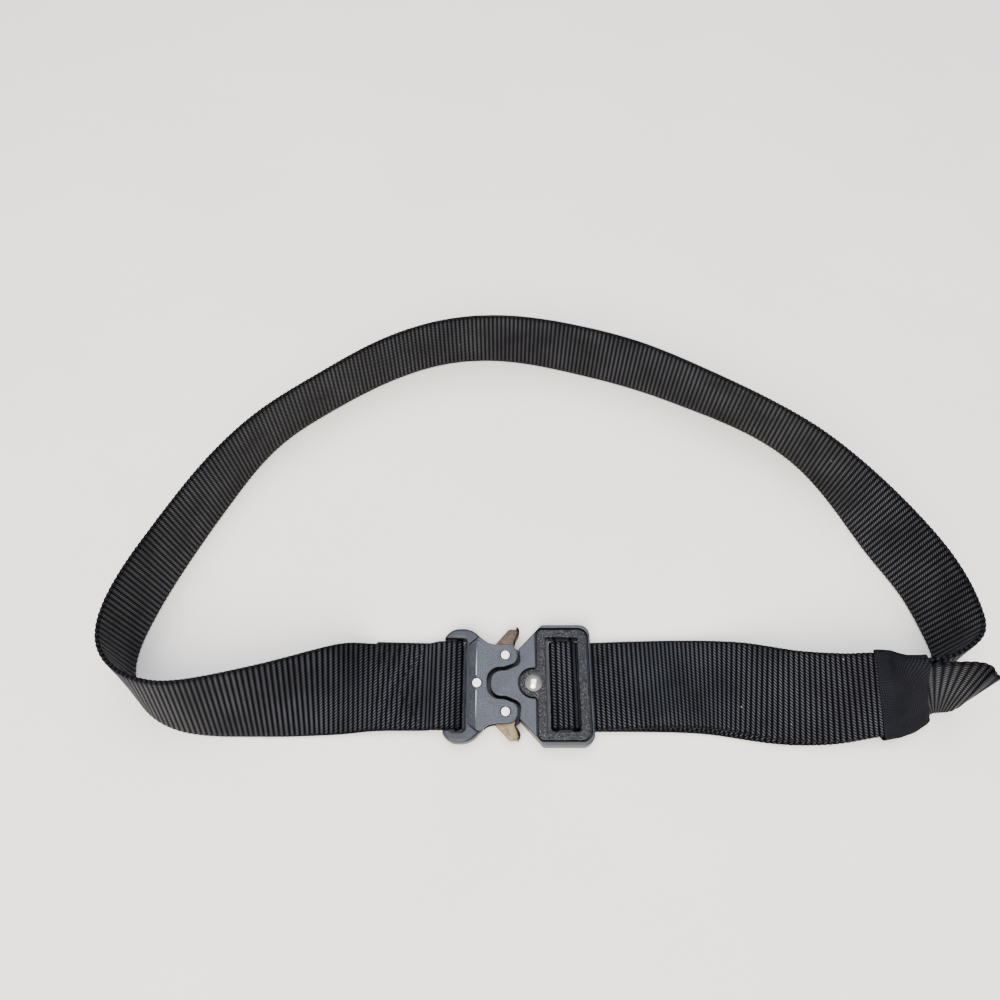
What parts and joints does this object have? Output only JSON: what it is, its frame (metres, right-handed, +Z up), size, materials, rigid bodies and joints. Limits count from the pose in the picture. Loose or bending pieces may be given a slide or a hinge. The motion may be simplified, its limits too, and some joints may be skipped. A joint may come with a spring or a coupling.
{
  "type": "tactical belt",
  "caption": "Ribbed black webbing belt with a metal quick-release buckle, elastic keeper and free tail, fastened and resting with its waist loop standing on edge.",
  "frame": {"origin": "centre of the belt's bounding box at the surface that it lies on", "axes": "+X along the buckle and the front of the belt, from the latch half to the adjuster half; +Y from the buckle to the back of the waist loop; +Z up from the surface"},
  "size_m": [0.3595, 0.206, 0.0441],
  "materials": {
    "webbing": "black ribbed nylon webbing, matt with a faint sheen",
    "elastic": "black knitted elastic, matt",
    "coated_metal": "dark grey satin coating",
    "textured_metal": "dark grey fine sand texture",
    "steel": "bright rivet heads",
    "chrome": "polished",
    "brass": "plain worn brass"
  },
  "bodies": {
    "belt": {"strap": "webbing", "keeper": "elastic", "latch_frame": "coated_metal", "latch_cover": "coated_metal", "rivet_latch": "steel", "rivet_upper": "steel", "rivet_lower": "steel", "tongue_body": "coated_metal", "adjuster_frame": "textured_metal", "adjuster_bar": "coated_metal", "ball_stud": "chrome"},
    "lever_upper": {"lever_upper": "brass"},
    "lever_lower": {"lever_lower": "brass"}
  },
  "joints": [
    {"name": "lever_upper_press", "type": "hinge", "parent": "belt", "child": "lever_upper", "pos_m": [-0.0151, -0.06485, 0.0045], "axis": [0, 0, -1], "range_deg": [0, 8], "stiffness_Nm_per_rad": 0.05, "springref_deg": -5.73},
    {"name": "lever_lower_press", "type": "hinge", "parent": "belt", "child": "lever_lower", "pos_m": [-0.0151, -0.08905, 0.0045], "axis": [0, 0, 1], "range_deg": [0, 8], "stiffness_Nm_per_rad": 0.05, "springref_deg": -5.73}
  ]
}
